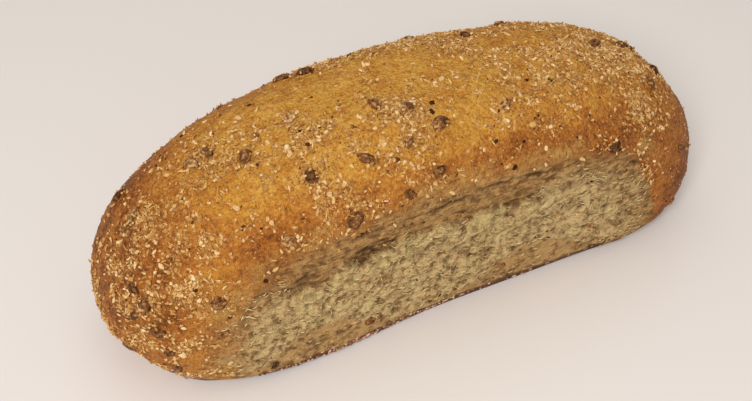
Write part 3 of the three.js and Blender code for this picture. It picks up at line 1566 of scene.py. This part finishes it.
GRIT_SCALE = (1.2, 0.9, 0.7)
SEED_SCALE = (1.1, 0.8, 0.6)
MEAL_GRIT = Lumps("fine_meal", "bran_flake", 4, 3, 212, 0.25, 0.0, 0.3)
DARK_SEED = Lumps("dark_seeds", "malted_kernel", 7, 5, 402, 0.22, 0.0, 0.6)
CRUMB_SEED = Lumps("crumb_seeds", "malted_kernel", 7, 5, 403, 0.22, 0.0, 0.6)
FOOT_GRAIN = Lumps("foot_grains", "bran_flake", 7, 5, 405, 0.22, 0.0, 0.5)

LEAVES = (
    (-36, -28), (-53, -10), (63, -41), (-25, -37), (-118, -22), (-100, -30), (12, -14), (84, -30),
    (30, 6), (-70, 6), (-12, 8), (104, -8), (58, 10), (-86, -34), (-120, -46), (40, -44),
)

SCORCHED = (
    (-52, -25), (-52, -18), (-22, -44), (-87, -41), (-83, -53), (-110, -43), (-99, -52), (48, -25),
    (58, -27), (2, -26), (0, -31), (22, -46), (28, -54), (-64, 12), (-14, 22), (76, 8), (-92, 16),
    (16, 30), (52, 26),
)


@dataclass
class Toppings:
    """Everything baked into the loaf's surface: bran, meal, kernels and seeds."""

    loaf: Loaf
    chips: int = 4600
    slivers: int = 2300
    husks: int = 850
    scraps_each: int = 10
    grits: int = 8000
    side_kernels: int = 26
    dark_seeds: int = 380
    crumb_seeds: int = 46
    foot_grains: int = 560
    kernel_shrink: float = 0.9

    def __post_init__(self) -> None:
        """Works out where bran lies on the loaf."""
        self.richness = self.loaf.bran_richness()

    def bran(self) -> list[bpy.types.Object]:
        """Chips, slivers and curled husks of bran, scraps that cling to the kernels, and leaves.

        Returns:
            The pieces.
        """
        pale = GrainFinish("pale_bran", tint(160, 106, 54), tint(204, 156, 90), tint(240, 212, 160))
        straw = GrainFinish("straw_bran", tint(150, 98, 48), tint(200, 150, 82), tint(238, 206, 144))
        pale_bran = pale.material()
        kinds = (
            (Bran.CHIP, self.chips, pale_bran),
            (Bran.SLIVER, self.slivers, straw.material()),
            (Bran.HUSK, self.husks, pale_bran),
        )
        pieces = []
        for seed, (kind, count, material) in enumerate(kinds, 101):
            spots = self.loaf.sow(self.richness, count, np.random.default_rng(seed + 50))
            coat = FlakeCoat(f"bran_{kind.name.lower()}s", kind, seed)
            pieces.append(coat.dressed(spots, material))
        near = self.round_kernels(np.random.default_rng(120))
        pieces.append(FlakeCoat("kernel_scraps", Bran.CHIP, 121).dressed(near, pale_bran))
        placed = self.loaf.nearest(np.array(LEAVES) * MM)
        pieces.append(FlakeCoat("bran_leaves", Bran.LEAF, 122).dressed(placed, pale_bran))
        return pieces

    def round_kernels(self, draw: np.random.Generator) -> Spots:
        """Places on and close round the kernels, raised onto a kernel where they meet one.

        A place is a random share of the kernel's radius away from its middle, and lifted by
        the height that a low dome has there.

        Args:
            draw: The source of random numbers.

        Returns:
            The places, some for each kernel.
        """
        each = self.scraps_each
        centres = self.loaf.nearest(np.array([(k.along, k.across) for k in KERNELS]) * MM)
        radius = np.repeat([(k.length + k.width) / 4 * MM for k in KERNELS], each)[:, None]
        normals = np.repeat(centres.normals, each, axis=0)
        ahead = np.repeat(centres.headings, each, axis=0)
        side = np.cross(normals, ahead)
        share = draw.uniform(0.7, 2.0, radius.shape)
        angle = draw.uniform(0, 2 * math.pi, radius.shape)
        dome = 0.5 * radius * np.sqrt(np.maximum(1 - share**2, 0))
        offset = share * radius * (np.cos(angle) * ahead + np.sin(angle) * side)
        places = np.repeat(centres.places, each, axis=0) + offset + dome * normals
        return Spots(places, normals, ahead)

    def meal(self) -> bpy.types.Object:
        """Fine grit of meal, a fraction of a millimetre across, over the crust.

        Returns:
            The piece.
        """
        draw = np.random.default_rng(211)
        colours = (tint(132, 78, 36), tint(196, 140, 72), tint(234, 198, 134))
        finish = GrainFinish("fine_meal", *colours, roughness=0.7)
        bare = (1 - self.loaf.torn) * ease(self.loaf.level, 2 * MM, 5 * MM)
        grit = Sowing(MEAL_GRIT, self.grits, (0.4, 1.0), GRIT_SCALE, (1.0, 0.9))
        return grit.sown(self.loaf, self.richness + 0.4 * bare, draw, finish.material())

    def kernels(self) -> list[bpy.types.Object]:
        """Malted kernels, set where the loaf has them and a few more round its sides.

        Returns:
            The pieces.
        """
        draw = np.random.default_rng(307)
        loaf, slot, grid = self.loaf, "malted_kernel", (24, 18)
        colours = (tint(62, 34, 16), tint(140, 91, 48), tint(220, 178, 120))
        material = GrainFinish("malted_kernel", *colours, 0.5, 1.3 * MM, 0.6 * MM, 2.2).material()
        crown_sizes = [(k.length, k.width, 0.275 * (k.length + k.width)) for k in KERNELS]
        torn_sizes = [(k.length, k.width, 0.5 * k.width) for k in TORN_KERNELS]
        crown_lumps = Lumps("malted_kernels", slot, *grid, 308, 0.22, 0.12, 0.5)
        torn_lumps = Lumps("crumb_kernels", slot, *grid, 310, 0.24, 0.12, 0.6)
        beds = (
            (KERNELS, False, crown_lumps, self.kernel_shrink * MM * np.array(crown_sizes)),
            (TORN_KERNELS, True, torn_lumps, MM * np.array(torn_sizes)),
        )
        pieces = []
        for kernels, torn, lumps, sizes in beds:
            spots = loaf.nearest(np.array([(k.along, k.across) for k in kernels]) * MM, torn)
            tones = np.array([k.tone for k in kernels])
            pieces.append(lumps.dressed(spots, sizes, tones, material))
        side = ease(loaf.normals[..., 2], 0.5, 0.1) * (1 - loaf.torn)
        count = self.side_kernels
        spots = loaf.sow(side * ease(loaf.level, 5 * MM, 14 * MM), count, draw)
        sizes = draw.uniform((5.0, 3.8, 2.4), (7.5, 5.5, 3.4), (count, 3)) * MM
        lumps = Lumps("side_kernels", slot, *grid, 309, 0.2, 0.12, 0.58)
        pieces.append(lumps.dressed(spots, sizes, draw.uniform(0.2, 0.6, count), material))
        return pieces

    def seeds(self) -> list[bpy.types.Object]:
        """Small dark seeds and scorched bits, on the crust, in the torn side and at its foot.

        Returns:
            The pieces.
        """
        draw = np.random.default_rng(401)
        loaf = self.loaf
        colours = (tint(48, 22, 10), tint(104, 56, 28), tint(162, 108, 64))
        dark_seed = GrainFinish("dark_seed", *colours, roughness=0.5).material()
        spots = loaf.nearest(np.array(SCORCHED) * MM)
        sizes = draw.uniform((2.0, 1.6, 1.2), (3.2, 2.4, 1.8), (len(SCORCHED), 3)) * MM
        lumps = Lumps("scorched_grains", "malted_kernel", 12, 8, 401, 0.25, 0.1, 0.6)
        tones = draw.uniform(0.0, 0.35, len(SCORCHED))
        scorched = lumps.dressed(spots, sizes, tones, dark_seed)
        crust = (0.4 + self.richness * 0.5) * (1 - loaf.torn) * (loaf.level > 2 * MM)
        torn = loaf.torn * ease(loaf.level, 3 * MM, 7 * MM) * (1 + 2 * loaf.strip)
        foot = ease(loaf.level, 6 * MM, 2.5 * MM) * ease(loaf.level, 0.6 * MM, 1.4 * MM)
        foot = foot * (0.15 + 0.85 * ease(loaf.along, 40 * MM, -30 * MM)) * (loaf.across < 0)
        colours = (tint(92, 52, 42), tint(170, 118, 96), tint(236, 204, 182))
        foot_grain = GrainFinish("foot_grain", *colours).material()
        on_crust = Sowing(DARK_SEED, self.dark_seeds, (0.6, 1.8), SEED_SCALE, (0.9, 1.6))
        in_crumb = Sowing(CRUMB_SEED, self.crumb_seeds, (0.8, 2.0), SEED_SCALE, (0.9, 1.6))
        at_foot = Sowing(FOOT_GRAIN, self.foot_grains, (0.7, 1.8), SEED_SCALE, (1.0, 1.2))
        beds = (
            (on_crust, crust, dark_seed),
            (in_crumb, torn, dark_seed),
            (at_foot, foot, foot_grain),
        )
        return [scorched] + [bed.sown(loaf, rich, draw, finish) for bed, rich, finish in beds]


@dataclass
class ShredCoat:
    """Fine torn shreds of crumb: three-sided strands that arch off the torn side."""

    count: int = 1500
    stations: int = 5
    sides: int = 3
    seed: int = 503

    def strands(self, spots: Spots, draw: np.random.Generator) -> Array:
        """The strands' points: rings of three round a bowed line, thin at both ends.

        A line's middle stands off the surface by its arch, falling to nothing at the ends
        with the square of the share along it, and its ends sway sideways the same way.

        Args:
            spots: Where the strands stand.
            draw: The source of random numbers.

        Returns:
            Each strand's rings of points.
        """
        one_each = (self.count, 1, 1)
        heading = draw.normal(0, 0.55, (self.count, 1))
        run = np.array([1.0, 0, 0]) - spots.normals * spots.normals[:, :1]
        run = run / np.linalg.norm(run, axis=1, keepdims=True)
        side = np.cross(spots.normals, run)
        ahead = np.cos(heading) * run + np.sin(heading) * side
        side, up = np.cross(spots.normals, ahead)[:, None], spots.normals[:, None]
        share = np.linspace(-1, 1, self.stations)[None, :, None]
        length = draw.uniform(1.5, 4.5, one_each) * MM
        arch = draw.uniform(0.1, 0.9, one_each) * MM
        sway = draw.normal(0, 0.5, one_each) * MM
        spine = spots.places[:, None] + share * length / 2 * ahead[:, None]
        spine = spine + (1 - share**2) * arch * up + share**2 * sway * side
        turn = (2 * math.pi * np.arange(self.sides) / self.sides)[None, None, :, None]
        radius = draw.uniform(0.12, 0.3, one_each) * MM * (1.05 - share**2)
        spoke = np.cos(turn) * side[:, None] + np.sin(turn) * up[:, None]
        return spine[:, :, None] + radius[..., None] * spoke

    def dressed(self, loaf: Loaf) -> bpy.types.Object:
        """Builds the strands over the crumb, thickest along its ledge.

        Args:
            loaf: The loaf that they stand on.

        Returns:
            The piece.
        """
        draw = np.random.default_rng(self.seed)
        sides, stations, count = self.sides, self.stations, self.count
        spots = loaf.sow(loaf.crumb * (0.3 + ease(loaf.rim, 3 * MM, 0)), count, draw)
        points = self.strands(spots, draw).reshape(-1, 3)
        row, corner = np.meshgrid(np.arange(stations - 1), np.arange(sides), indexing="ij")
        row, corner = row.ravel(), corner.ravel()
        after = (corner + 1) % sides
        near, far = sides * row, sides * (row + 1)
        walls = np.stack([near + corner, near + after, far + after, far + corner], axis=1)
        per = sides * stations
        caps = np.array([[0, 2, 1], [per - 3, per - 2, per - 1]])
        lengthwise = np.repeat(np.linspace(0, 1, stations), sides)
        flat = np.stack([lengthwise, np.tile([0.2, 0.5, 0.8], stations)], axis=1)
        faces = [repeat_faces(walls, per, count), repeat_faces(caps, per, count)]
        maps = [map_cells(count, flat[part].reshape(-1, 2)) for part in (walls, caps)]
        finish = GrainFinish(
            "crumb_shred", tint(150, 120, 76), tint(206, 178, 126), tint(236, 216, 160), 0.85
        )
        values = {"tone": np.repeat(draw.beta(1.6, 1.2, count), per)}
        corner_map = np.concatenate(maps)
        piece = build_piece("crumb_shreds", points, faces, corner_map, values, finish.material())
        return piece


@dataclass
class Studio:
    """The pale table, the soft light and the camera."""

    aim: tuple[float, float, float] = (-15.7 * MM, -8.8 * MM, 40 * MM)
    azimuth: float = math.radians(-24.1)
    elevation: float = math.radians(44.0)
    distance: float = 537.4 * MM
    roll: float = math.radians(-0.93)
    lens: float = 57.4
    sensor: float = 36
    table_size: float = 8.0
    lamp_colour: Colour = tint(255, 252, 249)
    room_colour: Colour = tint(247, 241, 232)
    room_strength: float = 0.45

    def table(self) -> None:
        """A broad flat top under the loaf."""
        half = self.table_size / 2
        corners = [(-half, -half, 0), (half, -half, 0), (half, half, 0), (-half, half, 0)]
        mesh = bpy.data.meshes.new("table_top")
        mesh.from_pydata(corners, [], [(0, 1, 2, 3)])
        mesh.materials.append(TableFinish().material())
        top = bpy.data.objects.new("table_top", mesh)
        bpy.context.scene.collection.objects.link(top)

    def lamp(self, name: str, place: Vector, size: float, power: float) -> None:
        """Hangs one square soft lamp that faces the loaf's middle.

        Args:
            name: The lamp's name.
            place: Where it hangs.
            size: The length of its sides.
            power: Its power in watts.
        """
        light = bpy.data.lights.new(name, "AREA")
        light.shape = "SQUARE"
        light.size = size
        light.energy = power
        light.color = self.lamp_colour[:3]
        lamp = bpy.data.objects.new(name, light)
        lamp.location = place
        towards = Vector((0, 0, 0.04)) - place
        lamp.rotation_euler = towards.to_track_quat("-Z", "Y").to_euler()
        bpy.context.scene.collection.objects.link(lamp)

    def light(self) -> None:
        """A wide lamp up in front on the left, a weak one overhead and a pale room."""
        self.lamp("window_light", Vector((-0.8, -0.95, 1.2)), 0.6, 19.4)
        self.lamp("ceiling_light", Vector((0.1, 0.3, 1.5)), 1.2, 3.0)
        world = bpy.data.worlds.new("pale_room")
        world.use_nodes = True
        room = world.node_tree.nodes["Background"]
        room.inputs["Color"].default_value = self.room_colour
        room.inputs["Strength"].default_value = self.room_strength
        bpy.context.scene.world = world

    def camera(self) -> None:
        """Looks down on the torn side from the left, rolled a little."""
        turn, lift = self.azimuth, self.elevation
        level = math.cos(lift)
        back = Vector((math.sin(turn) * level, -math.cos(turn) * level, math.sin(lift)))
        right = Vector((math.cos(turn), math.sin(turn), 0))
        up = back.cross(right)
        tipped = right * math.cos(self.roll) + up * math.sin(self.roll)
        upright = up * math.cos(self.roll) - right * math.sin(self.roll)
        view = bpy.data.cameras.new("camera")
        view.sensor_width = self.sensor
        view.lens = self.lens
        camera = bpy.data.objects.new("camera", view)
        turning = Matrix((tipped, upright, back)).transposed().to_4x4()
        place = Vector(self.aim) + back * self.distance
        camera.matrix_world = Matrix.Translation(place) @ turning
        bpy.context.scene.collection.objects.link(camera)
        bpy.context.scene.camera = camera

    def set_up(self) -> None:
        """Makes the table, the light and the camera, with colours shown as they are."""
        bpy.context.scene.view_settings.view_transform = "Standard"
        self.table()
        self.light()
        self.camera()


def main() -> None:
    """Builds the studio, the loaf and what is baked into it, and reports each piece."""
    logging.basicConfig(level=logging.INFO, format="%(name)s %(message)s")
    Studio().set_up()
    low, high = CAD_BOX
    loaf = Loaf(LoafShape.within(Vector(low), Vector(high)), high[1])
    toppings = Toppings(loaf)
    pieces = [loaf.dressed(LoafFinish())]
    pieces += toppings.bran()
    pieces.append(toppings.meal())
    pieces += toppings.kernels()
    pieces += toppings.seeds()
    pieces.append(ShredCoat().dressed(loaf))
    for piece in pieces:
        mesh = piece.data
        LOG.info("%s: %d points, %d faces", piece.name, len(mesh.vertices), len(mesh.polygons))


if __name__ == "__main__":
    main()
